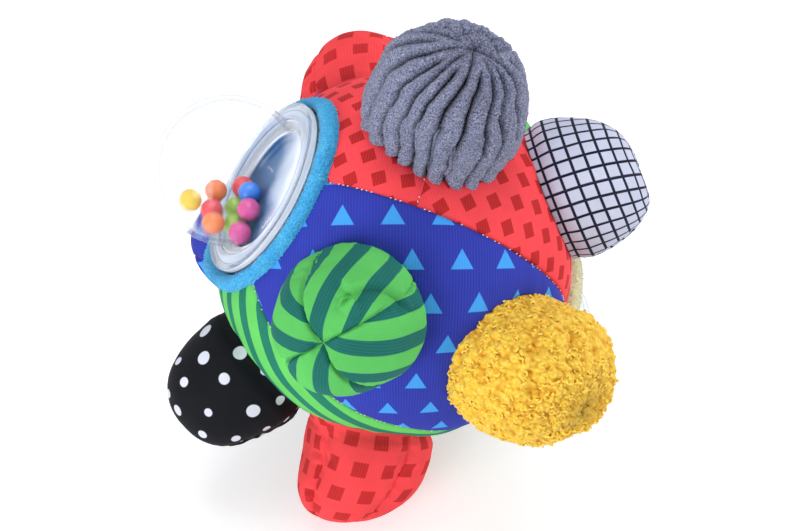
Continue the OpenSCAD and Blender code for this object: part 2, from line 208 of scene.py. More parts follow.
def squareMotif(tree, pitch=(9.8, 9.2), shift=0.5, size=(4.7, 4.8), turn=0.0):
    sums = partial(mathNode, tree)
    inX, inY, _, _ = latticeCell(tree, pitch, shift)
    cosine, sine = math.cos(math.radians(turn)), math.sin(math.radians(turn))
    wide = sums("ADD", sums("MULTIPLY", inX, cosine), sums("MULTIPLY", inY, sine))
    tall = sums("SUBTRACT", sums("MULTIPLY", inY, cosine), sums("MULTIPLY", inX, sine))
    wide = sums("SUBTRACT", sums("ABSOLUTE", wide), size[0] / 2)
    tall = sums("SUBTRACT", sums("ABSOLUTE", tall), size[1] / 2)
    return motifMask(tree, sums("MAXIMUM", wide, tall))


def triangleMotif(tree, pitch=(15.2, 13.5), shift=0.37, base=7.2, height=6.3):
    sums = partial(mathNode, tree)
    inX, inY, _, _ = latticeCell(tree, pitch, shift)
    up = sums("ADD", inY, height / 2)
    side = sums("ADD", sums("ABSOLUTE", inX), sums("MULTIPLY", up, base / 2 / height))
    edge = sums("SUBTRACT", side, base / 2)
    return motifMask(tree, sums("MAXIMUM", edge, sums("MULTIPLY", up, -1.0)))


def dotMotif(tree, pitch=(11.4, 10.4), shift=0.42, radius=1.2, wander=5.2):
    sums = partial(mathNode, tree)
    inX, inY, column, row = latticeCell(tree, pitch, shift)
    number = tree.nodes.new("ShaderNodeCombineXYZ")
    tree.links.new(column, number.inputs[0])
    tree.links.new(row, number.inputs[1])
    chance = tree.nodes.new("ShaderNodeTexWhiteNoise")
    tree.links.new(number.outputs[0], chance.inputs["Vector"])
    parts = tree.nodes.new("ShaderNodeSeparateColor")
    tree.links.new(chance.outputs["Color"], parts.inputs[0])
    spotX = sums("ADD", inX, sums("MULTIPLY_ADD", parts.outputs[0], wander, -wander / 2))
    spotY = sums("ADD", inY, sums("MULTIPLY_ADD", parts.outputs[1], wander, -wander / 2))
    reach = sums("SQRT", sums("ADD", sums("POWER", spotX, 2.0), sums("POWER", spotY, 2.0)))
    size = sums("MULTIPLY_ADD", parts.outputs[2], 1.2, radius)
    return motifMask(tree, sums("SUBTRACT", reach, size))


def gridMotif(tree, pitch=4.5, line=0.9):
    sums = partial(mathNode, tree)
    across, along = clothPlaces(tree)
    edges = []
    for place in (across, along):
        spot = sums("SUBTRACT", sums("FRACT", sums("DIVIDE", place, pitch)), 0.5)
        edges.append(sums("MULTIPLY", sums("ABSOLUTE", spot), pitch))
    return motifMask(tree, sums("SUBTRACT", sums("MINIMUM", edges[0], edges[1]), line / 2), 0.08)


def stripeMotif(tree, pitch=10.4, dark=4.6):
    sums = partial(mathNode, tree)
    across, along = clothPlaces(tree)
    sway = sums("MULTIPLY", sums("SINE", sums("MULTIPLY", along, 0.16)), 0.35)
    spot = sums("FRACT", sums("DIVIDE", sums("ADD", across, sway), pitch))
    off = sums("MULTIPLY", sums("ABSOLUTE", sums("SUBTRACT", spot, 0.5)), pitch)
    return motifMask(tree, sums("SUBTRACT", off, dark / 2))


# Printed knit: ground and motif colours, fine ribs and a little wear
def printedKnit(name, ground, motif, motifColour, rib=0.95, wear=0.02):
    finish, tree, shader = newFinish(name, roughness=0.75, sheen=0.01)
    sums = partial(mathNode, tree)
    shader.inputs["Sheen Roughness"].default_value = 0.4
    shader.inputs["Specular IOR Level"].default_value = 0.1
    across, along = clothPlaces(tree)
    printed = blendColours(tree, motif(tree), fromSrgb(ground), fromSrgb(motifColour))
    ribs = sums("MULTIPLY_ADD", sums("SINE", sums("MULTIPLY", across, math.tau / rib)), 0.5, 0.5)
    ticks = sums("MULTIPLY_ADD", sums("SINE", sums("MULTIPLY", along, math.tau / 0.6)), 0.5, 0.5)
    weave = sums("ADD", sums("MULTIPLY", ribs, 0.65), sums("MULTIPLY", ticks, 0.35))
    rubbed = sums("MULTIPLY", sums("POWER", ribs, 3.0), wear)
    worn = blendColours(tree, rubbed, printed, (0.9, 0.88, 0.86))
    patchy = spread(tree, objectNoise(tree, 9 * mm), 0.3, 0.7)
    shade = blendColours(tree, sums("MULTIPLY", patchy, 0.10), worn, fromSrgb("101018"))
    tree.links.new(shade, shader.inputs["Base Color"])
    raiseBump(tree, shader, weave, 0.035 * mm)
    return finish


# Plush and fleece: tip and root colours mixed by fine noise, with painted shade down in the hollows where a shade
# colour is given
def plushPile(
    name, root, tip, blotch, fine=0.45 * mm, roughness=0.95, sheen=0.5, low=0.38, high=0.62, valleyPaintedShade=None, deep=(0.25, 1.0)
):
    finish, tree, shader = newFinish(name, roughness=roughness, sheen=sheen)
    shader.inputs["Sheen Roughness"].default_value = 0.5
    shader.inputs["Specular IOR Level"].default_value = 0.15
    strands = spread(tree, objectNoise(tree, fine, 2.0), low, high)
    pile = blendColours(tree, strands, fromSrgb(root), fromSrgb(tip))
    patches = spread(tree, objectNoise(tree, 7 * mm), 0.35, 0.7)
    shade = blendColours(tree, mathNode(tree, "MULTIPLY", patches, 0.35), pile, fromSrgb(blotch))
    if valleyPaintedShade:  # painted shade down between the ribs or curls, deepest where the hollow is
        hollow = tree.nodes.new("ShaderNodeAttribute")
        hollow.attribute_name = "hollow"
        shade = blendColours(tree, spread(tree, hollow.outputs["Fac"], *deep), shade, fromSrgb(valleyPaintedShade))
    tree.links.new(shade, shader.inputs["Base Color"])
    raiseBump(tree, shader, objectNoise(tree, fine * 1.4, 2.0), 0.25 * mm)
    return finish


def plainPlastic(
    name, colour, roughness=0.25, transmission=0.0, alpha=1.0, speck=0.04, bend=1.46, coat=0.0, shine=1.5
):
    finish, tree, shader = newFinish(name, roughness=roughness)
    plain = {
        "Coat Weight": coat, "Coat Roughness": 0.02, "Coat IOR": shine, "Transmission Weight": transmission,
        "Alpha": alpha, "IOR": bend,
    }
    for socket, value in plain.items():
        shader.inputs[socket].default_value = value
    cloudy = mathNode(tree, "MULTIPLY", objectNoise(tree, 6 * mm), speck)
    tree.links.new(blendColours(tree, cloudy, fromSrgb(colour), (0.25, 0.27, 0.3)), shader.inputs["Base Color"])
    return finish


finishes = {
    "blue_print": printedKnit("blueKnit", "2e3aa8", triangleMotif, "43a0f0"),
    "red_print": printedKnit("redKnit", "f5464b", squareMotif, "c4272a"),
    "red_panel": printedKnit("redPanelKnit", "f8484f", panelSquares, "bd2427"),
    "green_print": printedKnit("greenKnit", "66cc62", stripeMotif, "1c7a62"),
    "striped_print": printedKnit("stripedKnit", "5abe5d", stripeMotif, "17695f"),
    "grid_print": printedKnit("gridKnit", "c3c7dc", gridMotif, "11142c"),
    "dotted_print": printedKnit("dottedKnit", "111217", dotMotif, "d9dbe8", wear=0.0),
    # ribbed plush and curly fleece: the near-black and the deep orange are painted shade in their hollows
    "ribbed_plush": plushPile(
        "ribbedPlush", "4f5269", "b4b8d6", "6e738e", fine=0.5 * mm, sheen=0.15, low=0.34, high=0.66, valleyPaintedShade="090a10",
        deep=(0.12, 0.7),
    ),
    "curly_fleece": plushPile("curlyFleece", "f7c43a", "ffe064", "fbcf45", fine=0.9 * mm, sheen=0.15, valleyPaintedShade="dd9418"),
    "sky_plush": plushPile("skyPlush", "1f9ae8", "72dcfa", "2492ea", sheen=0.15, low=0.3, high=0.7),
    "yellow_plush": plushPile("yellowPlush", "fff6a4", "ffffec", "fffab8", sheen=0.6, low=0.3, high=0.7),
    "fibre_filling": plushPile("fibreFilling", "d9d6cc", "fbfaf5", "ece9e0", fine=1.2 * mm),
    "clear_plastic": plainPlastic(
        "clearPlastic", "f2f7fc", 0.0, transmission=1.0, alpha=0.5, speck=0.0, bend=1.025, coat=0.35, shine=1.7
    ),
    "white_plastic": plainPlastic("whitePlastic", "eef0f4", 0.22),
    "chime_steel": plainPlastic("chimeSteel", "bfc2c8", 0.3),
}
beadColours = {
    "yellow": "f6cf45", "orange": "fb8a4e", "blue": "3f86ee", "pink": "e0589f", "red": "f0525e", "green": "a6d455",
}
for colour, code in beadColours.items():
    finishes["bead_" + colour] = plainPlastic(colour + "Bead", code, 0.12, transmission=0.2)


def vectorNode(tree, operation, first, second=None, output="Vector"):
    node = tree.nodes.new("ShaderNodeVectorMath")
    node.operation = operation
    tree.links.new(first, node.inputs[0])
    if second is not None:
        node.inputs[1].default_value = second
    return node.outputs[output]


# Plastic in rings round a dome's axis, with painted highlight and painted shade lines at its steps and edges: colours
# from a radius outwards, in millimetres
# in both tables the darker blue-grey rings are painted shade lines and the white outer ring is a painted highlight
cupPaintedRings = (
    (0, "f4f6fa"), (20.9, "8f9fb8"), (21.4, "e4eaf3"), (23.1, "7788a3"), (23.5, "b9c8de"), (26.0, "ffffff"),
)
flangePaintedRings = (
    (0, "f0f5fc"), (23.4, "8797b4"), (24.0, "d3dff2"), (26.6, "9dadc9"), (27.0, "d9e5f6"), (28.7, "ffffff"),
)
widest = 30


def paintedRingPlastic(name, centre, axis, bands):
    finish, tree, shader = newFinish(name, roughness=0.2)
    places = tree.nodes.new("ShaderNodeTexCoord")
    arm = vectorNode(tree, "SUBTRACT", places.outputs["Object"], centre)
    radius = vectorNode(tree, "LENGTH", vectorNode(tree, "CROSS_PRODUCT", arm, axis), output="Value")
    rings = tree.nodes.new("ShaderNodeValToRGB")
    rings.color_ramp.interpolation = "CONSTANT"
    for number, (reach, colour) in enumerate(bands):
        stop = rings.color_ramp.elements[number] if number < 2 else rings.color_ramp.elements.new(1)
        stop.position = reach / widest
        stop.color = (*fromSrgb(colour), 1)
    tree.links.new(mathNode(tree, "DIVIDE", radius, widest * mm), rings.inputs["Fac"])
    tree.links.new(rings.outputs["Color"], shader.inputs["Base Color"])
    return finish, tree, shader, arm, rings.outputs["Color"]


def cupPlastic(name, centre, axis, towardPaintedShade):  # painted shade and reflection: steel blue inside the cup on one side, fading to white across the cup
    finish, tree, shader, arm, paintedRingColour = paintedRingPlastic(name, centre, axis, cupPaintedRings)
    sums = partial(mathNode, tree)
    depth, sideways = (vectorNode(tree, "DOT_PRODUCT", arm, way, "Value") for way in (axis, towardPaintedShade))
    inside = sums("SUBTRACT", 1.0, spread(tree, depth, -1.1 * mm, -0.5 * mm))
    across = spread(tree, sideways, -10 * mm, 3 * mm)
    cloudy = sums("MULTIPLY_ADD", objectNoise(tree, 7 * mm), 0.6, -0.3)
    deep = blendColours(tree, sums("ADD", across, cloudy), fromSrgb("e4eaf4"), fromSrgb("35608f"))
    tree.links.new(blendColours(tree, inside, paintedRingColour, deep), shader.inputs["Base Color"])
    return finish


def flangePlastic(name, centre, axis):
    finish, _, shader, _, _ = paintedRingPlastic(name, centre, axis, flangePaintedRings)
    for socket, value in (("Transmission Weight", 0.35), ("Alpha", 0.85), ("IOR", 1.2), ("Coat Weight", 1.0)):
        shader.inputs[socket].default_value = value
    return finish


steel = finishes["chime_steel"].node_tree.nodes["Principled BSDF"]
steel.inputs["Metallic"].default_value = 1.0
slotOf = {row["node"]: row["material_slot"] for row in frame["record"]["subparts"]}
print("finishes made")


def makePiece(name, work, nodes, body="ball"):
    mesh = meshFrom(name, work)
    mesh.polygons.foreach_set("use_smooth", [True] * len(mesh.polygons))
    piece = addObject(name, mesh)
    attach(piece, body)
    if nodes:
        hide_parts(*nodes)
        mesh.materials.append(finishes[slotOf[nodes[0]]])
    return piece


def evenSteps(points, count):  # points at even distances along a polyline
    lengths = [0.0]
    for first, second in zip(points, points[1:]):
        lengths.append(lengths[-1] + math.dist(first, second))
    made, place = [], 0
    for i in range(count + 1):
        want = lengths[-1] * i / count
        while place < len(points) - 2 and lengths[place + 1] < want:
            place += 1
        share = (want - lengths[place]) / max(lengths[place + 1] - lengths[place], 1e-12)
        made.append(tuple(a + (b - a) * share for a, b in zip(points[place], points[place + 1])))
    return made, lengths[-1]


def spinOutline(work, verts, steps, closed=False):  # full turn about Z
    ends = verts[1:] + verts[:1] if closed else verts[1:]
    edges = [work.edges.new(pair) for pair in zip(verts, ends)]
    bmesh.ops.spin(
        work, geom=verts + edges, cent=(0, 0, 0), axis=(0, 0, 1), angle=math.tau, steps=steps,
        use_merge=True, use_duplicate=False,
    )
    bmesh.ops.remove_doubles(work, verts=work.verts[:], dist=0.001 * mm)
    bmesh.ops.recalc_face_normals(work, faces=work.faces[:])


# Stuffed knobs, sewn of gores and closed at the tip. Angles place one on the ball and turn its first seam,
# shift moves its print, nudge and lean move its foot and its tip, and trims draw it in or let it out
plainKnob = {
    "gores": 4, "narrow": 1.0, "nudge": (0, 0), "lean": (0, 0), "shift": (0, 0), "pinch": 0.07, "dip": 1.2 * mm,
    "puff": 1.0, "trims": (),
}
printedKnob = dict(plainKnob, base=20.8 * mm, bulge=21.5 * mm, wall=1.2 * mm)
plushKnob = dict(plainKnob, base=22.5 * mm, bulge=23.6 * mm, wall=2.2 * mm)
knobs = [
    dict(
        printedKnob, name="front_knob", angles=(63, 336), share=1.0, rise=26.5, sag=0.3, seam=66,
        shift=(2.6, 2), nudge=(0.9 * mm, 0), lean=(-3.7 * mm, -1.1 * mm),
    ),
    dict(
        plushKnob, name="ribbed_knob", angles=(65.5, 47.5), share=0.965, rise=34.3, sag=0.3, seam=45,
        nudge=(0.4 * mm, 1.0 * mm), lean=(2.5 * mm, -3.4 * mm), dip=0.6 * mm, hole=16.8 * mm,
        trims=((238, -5.5, 14, 0), (170, 2.5, 12, 32)),
    ),
    dict(
        plushKnob, name="fleece_knob", angles=(117, 347.5), share=0.98, rise=29.5, sag=0.6, seam=45, narrow=0.92,
        nudge=(-0.5 * mm, -0.8 * mm), lean=(0, 4.0 * mm), pinch=0.02, dip=0, puff=0.3, hole=20 * mm,
        trims=((100, -3.0, 9, 0), (137, -1.5, 10, 4), (264, 1.5, 14, 8), (60, 4.0, 11, 15), (40, 2.0, 14, 26)),
    ),
    dict(
        printedKnob, name="grid_knob", angles=(121.5, 59.5), share=1.08, rise=24.5, sag=1, seam=138, gores=2,
        lean=(0, 1.0 * mm),
    ),
    dict(
        printedKnob, name="dotted_knob", angles=(70, 254), share=0.98, rise=30.2, sag=0.8, seam=38, gores=2,
        shift=(2, 5), lean=(-2.7 * mm, 0),
    ),
    dict(
        printedKnob, name="stand_knob", angles=(108.5, 270.5), share=1, rise=30.5, sag=0, seam=69, shift=(1, 0.8),
        lean=(-5.5 * mm, 0), trims=((180, -5.5, 17, 10), (0, 3.0, 14, 22)),
    ),
    dict(
        printedKnob, name="crown_knob", angles=(75, 137), share=0.98, rise=29, sag=0.5, seam=2, pinch=0.03,
        shift=(3, 1), lean=(3.5 * mm, -3.5 * mm), trims=((195, 3.0, 14, 24),),
    ),
    dict(printedKnob, name="green_back_knob", angles=(116.5, 129.6), share=0.96, rise=27, sag=0.6, seam=45),
    dict(plushKnob, name="plush_back_knob", angles=(109, 198), share=0.98, rise=27, sag=0, seam=45),
    dict(
        printedKnob, name="blue_back_knob", angles=(64, 200.5), share=0.96, rise=23.3, sag=0.6, seam=45,
        shift=(5, 4), pinch=0.03, lean=(0, -2 * mm), trims=((90, -4.0, 14, 24),),
    ),
]
puff = {
    "columns": 72, "rings": 22, "scale": 20, "frames": 16, "pressure": 4.0, "cap": 1.8 * mm,
    "grow": -0.05, "stiffness": 12, "bending": 0.4,
}
outlineForm = {"samples": 240, "neck": 0.3, "belly": 0.62, "shoulder": 0.85}
held = {"eased": 9 * mm, "loose": 6 * mm}  # how far from its base a knob is held by the seam


def knobOutline(knob, inset, count):  # radius and height, from the seat to the tip
    bulge = knob["bulge"] * knob["share"]
    base = knob["base"] * knob["share"]
    core = ball["radius"] - ball["panelThickness"] + ball["softGap"]
    foot = math.sqrt(core**2 - (base - knob["wall"]) ** 2)
    top = ball["radius"] + knob["rise"] * mm - inset
    points, samples = [], outlineForm["samples"]
    for i in range(samples + 1):
        angle = math.pi / 2 * i / samples
        pull = (1 - base / bulge) * max(0, 1 - angle / outlineForm["neck"]) ** 2
        radius = (bulge * (1 - pull) - inset) * max(math.cos(angle), 0) ** outlineForm["belly"]
        height = foot + (top - foot) * math.sin(angle) ** outlineForm["shoulder"]
        points.append((radius if i < samples else 0.0, height))
    made, length = evenSteps(points, count)
    return made, length, foot, top


def spinKnob(knob, inset, steps, rings, innerRings):
    outer, length, foot, top = knobOutline(knob, inset, rings)
    work = bmesh.new()
    layers = work.verts.layers.float
    for label in ("along", "depth", "hollow"):
        layers.new(label)
    along, depth = layers["along"], layers["depth"]
    turn = math.radians(knob["seam"])
    rows = [(r, z, length * i / rings, 0.0) for i, (r, z) in enumerate(outer)]
    if innerRings:
        inner, _, _, _ = knobOutline(knob, inset + knob["wall"], innerRings)
        rows = [(r, z, length * i / innerRings, knob["wall"]) for i, (r, z) in enumerate(inner)][::-1] + rows
    else:
        rows = [(0.0, foot, 0.0, knob["wall"])] + rows
    verts = []
    for r, z, s, d in rows:
        vert = work.verts.new((r * math.cos(turn), r * math.sin(turn), z))
        vert[along] = s
        vert[depth] = d
        verts.append(vert)
    spinOutline(work, verts, steps)
    return work, along, depth, length


def fromSeam(knob, co):  # turn from the first seam
    return (math.atan2(co.y, co.x) - math.radians(knob["seam"])) % math.tau


def seamPlace(knob, co):  # gore number, angle from its middle, distance to its nearest seam
    angle = fromSeam(knob, co)
    width = math.tau / knob["gores"]
    gore = min(int(angle / width), knob["gores"] - 1)
    fromMiddle = angle - (gore + 0.5) * width
    return gore, fromMiddle, (width / 2 - abs(fromMiddle)) * math.hypot(co.x, co.y)


def drawIn(knob, co, foot, top):  # the four gores: seams drawn in and the tip dimpled
    rise = min(max((co.z - foot) / (top - foot), 0), 1)
    radius = math.hypot(co.x, co.y)
    drawn = 1 - knob["pinch"] * abs(math.cos(knob["gores"] / 2 * fromSeam(knob, co))) ** 3 * rise**1.18
    dip = knob["dip"] * bell(radius, 5 * mm) if rise > 0.7 else 0
    return Vector((co.x * drawn, co.y * drawn, co.z - dip))


def leanOf(knob):  # how far the tip droops and leans to one side
    down = siteMatrix(knob["angles"]).to_3x3().inverted() @ Vector((0, 0, -1))
    return Vector((down.x, down.y, 0)) * ball["knobSag"] * knob["sag"] + Vector((*knob["lean"], 0))


# Cloth blown out between its seams: how far each place of the cover moves
def puffMoves(knob):
    work, along, depth, length = spinKnob(knob, 0, puff["columns"], puff["rings"], 0)
    _, _, foot, top = knobOutline(knob, 0, 4)
    keys, fixed = [], []
    for i, vert in enumerate(work.verts):
        ring = round(vert[along] / length * puff["rings"])
        column = round(fromSeam(knob, vert.co) / math.tau * puff["columns"]) % puff["columns"]
        keys.append((ring, column) if vert[depth] == 0 else None)
        if ring <= 1 or ring >= puff["rings"] - 1 or column % (puff["columns"] // knob["gores"]) == 0:
            fixed.append(i)
        vert.co = drawIn(knob, vert.co, foot, top) * puff["scale"]
    mesh = meshFrom("puff", work)
    cloth = addObject("puff", mesh)
    cloth.vertex_groups.new(name="held").add(fixed, 1.0, "REPLACE")
    modifier = cloth.modifiers.new("cloth", "CLOTH")
    settings = modifier.settings
    settings.quality = 5
    settings.vertex_group_mass = "held"
    settings.use_pressure = True
    settings.uniform_pressure_force = puff["pressure"]
    settings.shrink_min = puff["grow"]
    settings.tension_stiffness = settings.compression_stiffness = puff["stiffness"]
    settings.bending_stiffness = puff["bending"]
    settings.effector_weights.gravity = 0
    modifier.point_cache.frame_end = puff["frames"]
    before = [vert.co.copy() for vert in mesh.vertices]
    for number in range(1, puff["frames"] + 1):
        bpy.context.scene.frame_set(number)
    blown = cloth.evaluated_get(bpy.context.evaluated_depsgraph_get()).data
    moves = {}
    for key, old, vert in zip(keys, before, blown.vertices):
        if key:
            move = (vert.co - old) / puff["scale"]
            moves[key] = move * min(1, puff["cap"] / max(move.length, 1e-9))
    for column in range(puff["columns"]):
        moves.setdefault((puff["rings"], column), Vector())
    bpy.data.objects.remove(cloth)
    bpy.data.meshes.remove(mesh)
    bpy.context.scene.frame_set(1)
    return moves


def movedBy(moves, ring, column):
    low, side = min(int(ring), puff["rings"] - 1), int(column)
    x, y = ring - low, column - side
    spots = [moves[(low + i, (side + j) % puff["columns"])] for i in (0, 1) for j in (0, 1)]
    return spots[0].lerp(spots[1], y).lerp(spots[2].lerp(spots[3], y), x)


def layCloth(work, knob, along, length):  # each gore's flat cloth, in millimetres
    sheet = work.loops.layers.uv.new("cloth")
    outline, _, _, _ = knobOutline(knob, 0, 60)
    for face in work.faces:
        gore, _, _ = seamPlace(knob, face.calc_center_median())
        middle = math.radians(knob["seam"]) + (gore + 0.5) * math.tau / knob["gores"]
        for loop in face.loops:
            co = loop.vert.co
            spot = min(loop.vert[along] / length * 60, 59.999)
            flat = outline[int(spot)][0] + (outline[int(spot) + 1][0] - outline[int(spot)][0]) * (spot % 1)
            angle = (math.atan2(co.y, co.x) - middle + math.pi) % math.tau - math.pi
            across = angle * flat if flat > 0.5 * mm else 0.0
            loop[sheet].uv = (across / mm + knob["shift"][0], loop.vert[along] / mm + knob["shift"][1] + 3.1 * gore)


# Drawn in or let out on one side: angle, millimetres outwards, reach and distance from the base
def trimmed(knob, place, s):
    turn, out = math.atan2(place.y, place.x), Vector((place.x, place.y, 0)).normalized()
    push = sum(
        far * max(math.cos(turn - math.radians(angle)), 0) ** 3 * bell(s / mm - high, reach)
        for angle, far, reach, high in knob["trims"]
    )
    return out * push * mm * (1 if "hole" in knob else ramp(s, 5 * mm))


# Height from the surface, then seams, stuffing and droop, for both walls
def shapeKnob(work, knob, along, depth, length, height):
    _, _, foot, top = knobOutline(knob, 0, 4)
    moves, sag = puffMoves(knob), leanOf(knob)
    work.normal_update()
    places = []
    for vert in work.verts:
        ring = vert[along] / length * puff["rings"]
        column = fromSeam(knob, vert.co) / math.tau * puff["columns"]
        blown = movedBy(moves, ring, column) * knob["puff"] * ramp(vert[along], held["loose"])
        place = drawIn(knob, vert.co, foot, top) + blown + trimmed(knob, vert.co, vert[along])
        if vert[depth] == 0:
            place += vert.normal * height(vert)
        share = (place.z - foot) / (top - foot)
        free = ramp(vert[along], held["eased"])
        place.y *= 1 - (1 - knob["narrow"]) * free
        place += Vector((*knob["nudge"], 0)) * free
        places.append(place + sag * max(share, 0) ** 2)
    for vert, place in zip(work.verts, places):
        vert.co = place


# A sewn cover: how high or deep each thing is, and how wide
sewn = {
    "high": {
        "crease": 0.85 * mm, "pucker": 0.14 * mm, "gather": 0.35 * mm, "tuck": 0.25 * mm, "lump": 0.7 * mm,
        "dimple": 0.16 * mm,
    },
    "wide": {
        "crease": 0.7 * mm, "pucker": 2.6 * mm, "gather": 4 * mm, "tuck": 2.2 * mm, "lump": 14 * mm,
        "dimple": 5 * mm,
    },
    "stitch": 0.5 * mm, "gathered": 3.2 * mm, "between": 0.09,
}


def clothHeight(knob, along):
    high, wide = sewn["high"], sewn["wide"]

    def height(vert):
        gore, _, toSeam = seamPlace(knob, vert.co)
        s = vert[along]
        place = vert.co + Vector((gore * sewn["between"], 0, 0))
        crease = -high["crease"] * bell(toSeam, wide["crease"])
        pucker = high["pucker"] * math.sin(s / sewn["stitch"] + 2 * gore) * fade(toSeam, wide["pucker"])
        gather = high["gather"] * fade(s, wide["gather"]) * noiseAt(place, sewn["gathered"])
        tuck = -high["tuck"] * bell(s, wide["tuck"])
        lumps = high["lump"] * noiseAt(place, wide["lump"]) + high["dimple"] * noiseAt(place, wide["dimple"])
        return crease + pucker + gather + tuck + lumps * ramp(s, held["loose"])

    return height


# The front knob's cloth is pinched into a curved fold: its path as angle and distance from the base
fold = {
    "path": ((101, 31.5), (98.5, 27.1), (93, 24.3), (85.5, 21.3), (75.5, 18.5), (67, 16.6), (55, 14.8)),
    "cut": 3.0 * mm, "lap": 2.9 * mm, "sink": 2.6 * mm, "cutWidth": 0.9 * mm, "lapWidth": 4.5 * mm, "sinkWidth": 4 * mm,
    "thread": 0.12 * mm, "edge": 0.5 * mm,
}


def foldSpots(knob, length):
    outline, _, _, _ = knobOutline(knob, 0, 200)
    spots = []
    for angle, s in fold["path"]:
        r, z = outline[round(s * mm / length * 200)]
        spots.append(Vector((r * math.cos(math.radians(angle)), r * math.sin(math.radians(angle)), z)))
    return spots


def foldHeight(co, spots):
    best = None
    for number, (first, second) in enumerate(zip(spots, spots[1:])):
        along = second - first
        share = min(max((co - first).dot(along) / along.length_squared, 0), 1)
        near = first + along * share
        if best is None or (co - near).length < best[0]:
            best = ((co - near).length, near, (number + share) / (len(spots) - 1))
    away, near, run = best
    away = max(away - fold["thread"], 0)
    ends = max(math.sin(math.pi * min(max(run, 0.02), 0.98)), 0) ** 0.5
    cut = -fold["cut"] * bell(away, fold["cutWidth"])
    step = 1 - fade(away, fold["edge"])
    if co.y > near.y:
        return ends * (cut + fold["lap"] * step * fade(away, fold["lapWidth"]))
    return ends * (cut - fold["sink"] * step * bell(away, fold["sinkWidth"]))


def setDown(work, depth, knob, least=0.0):  # put in its place, and flat where it rests on the floor
    work.transform(siteMatrix(knob["angles"]))
    for vert in work.verts:
        vert.co.z = max(vert.co.z, least + vert[depth])


def printedKnobCover(knob):
    work, along, depth, length = spinKnob(knob, 0, 240, 80, 14)
    layCloth(work, knob, along, length)
    height = clothHeight(knob, along)
    if knob["name"] == "front_knob":
        spots = foldSpots(knob, length)
        shapeKnob(work, knob, along, depth, length, lambda vert: height(vert) + foldHeight(vert.co, spots))
    else:
        shapeKnob(work, knob, along, depth, length, height)
    setDown(work, depth, knob)
    return work


# Wide ribs that die out towards the tip, and rolls behind it: millimetres high, from the tip, and wide
ribbed = {
    "wales": 20, "depth": 4.6 * mm, "round": 3.0 * mm, "pile": 0.42 * mm, "tuft": 1.2 * mm, "hem": 0.8 * mm,
    "rolls": ((2.7, 3.6, 2.0), (2.2, 9.6, 2.3), (-1.9, 6.6, 0.8), (-1.6, 12.8, 0.8)),
}


def waleCut(turn, period, reach):  # 1 in a valley, 0 on a crest
    place = turn * ribbed["wales"] / math.tau / period
    number = round(place)
    strength = 0.65 + 0.35 * math.sin(number * 12.9 + period * 4.1)
    away = abs(place - number) * period * reach * math.tau / ribbed["wales"]
    return (1 - math.sqrt(1 - (1 - min(away / ribbed["round"], 1)) ** 2)) * max(strength, 0.3) ** 0.5


def waleHeight(knob, along, length, hollow):
    def height(vert):
        place, s = vert.co, vert[along]
        reach, toTip = math.hypot(place.x, place.y), length - s
        width = reach * math.tau / ribbed["wales"]
        turn = fromSeam(knob, place) + 0.13 * noiseAt(place, 13 * mm) + 0.03 * noiseAt(place, 5 * mm)
        fine, middle = ramp(width - 2.5 * mm, 1.2 * mm), ramp(width - 1.1 * mm, 0.8 * mm)
        cut = max(waleCut(turn, 4, reach), middle * waleCut(turn, 2, reach), fine * waleCut(turn, 1, reach))
        across = max((0.3 * place.x + place.y) / max(reach, mm), 0)
        rolls = sum(high * mm * bell(toTip - far * mm, wide * mm) for high, far, wide in ribbed["rolls"])
        rolls *= across * (1 + 0.7 * noiseAt(place, 4 * mm))
        cut *= 1 - 0.85 * across * math.exp(-((toTip / (12 * mm)) ** 4))
        # painted shade: the hollow value darkens the plush down in the valleys and where the rolls sink
        vert[hollow] = min(max(cut, -rolls / (1.4 * mm)), 1)
        depth = ribbed["depth"] * (1 + 0.35 * noise.noise(place / (8 * mm) + Vector((7, 0, 0))))
        tuft = ribbed["tuft"] * bell(toTip, 6 * mm)
        lumps = 1.5 * mm * noiseAt(place, 15 * mm) + 0.25 * mm * noiseAt(place, 3 * mm)
        hem = ribbed["hem"] * (1 - cut) * fade(s, 4 * mm)
        return 0.7 * mm - depth * cut + tuft + rolls + lumps * ramp(s, 5 * mm) + hem

    return height


combed = {"size": 0.45 * mm, "lean": 1.1}  # how unevenly the tufts lie, and how far


def outsideOf(work, depth):
    return [face for face in work.faces if all(vert[depth] == 0 for vert in face.verts)]


def raisePile(work, faces, height):  # a short tuft on every face
    hollow = work.verts.layers.float.get("hollow")
    tufts = bmesh.ops.poke(
        work, faces=faces, offset=height, center_mode="MEAN_WEIGHTED", use_relative_offset=False
    )
    for vert in tufts["verts"]:
        place = vert.co / combed["size"]
        comb = Vector((noise.noise(place), noise.noise(place.yzx + Vector((9, 0, 0))), noise.noise(place.zxy)))
        vert.co += comb * height * combed["lean"]
        if hollow:
            ring = [edge.other_vert(vert)[hollow] for edge in vert.link_edges]
            vert[hollow] = sum(ring) / len(ring)


def ribbedKnobCover(knob):
    work, along, depth, length = spinKnob(knob, 0, 384, 120, 10)
    hollow = work.verts.layers.float["hollow"]
    shapeKnob(work, knob, along, depth, length, waleHeight(knob, along, length, hollow))
    raisePile(work, outsideOf(work, depth), ribbed["pile"])
    work.transform(siteMatrix(knob["angles"]))
    return work


shortPile = 0.45 * mm


def plushKnobCover(knob):
    work, along, depth, length = spinKnob(knob, 0, 280, 96, 10)
    shapeKnob(work, knob, along, depth, length, clothHeight(knob, along))
    raisePile(work, outsideOf(work, depth), shortPile)
    setDown(work, depth, knob)
    return work


# Curly fleece: clumps of pile with loose curls among them
curl = {
    "turn": 0.75 * mm, "thickness": 0.38 * mm, "sweep": 270, "loose": 750, "bare": 8.5 * mm, "pile": 0.3 * mm,
    "rings": 124,
    "clump": 3.4 * mm, "clumpHigh": 1.6 * mm, "bead": 1.5 * mm, "beadHigh": 0.9 * mm, "broadHigh": 1.2 * mm,
}


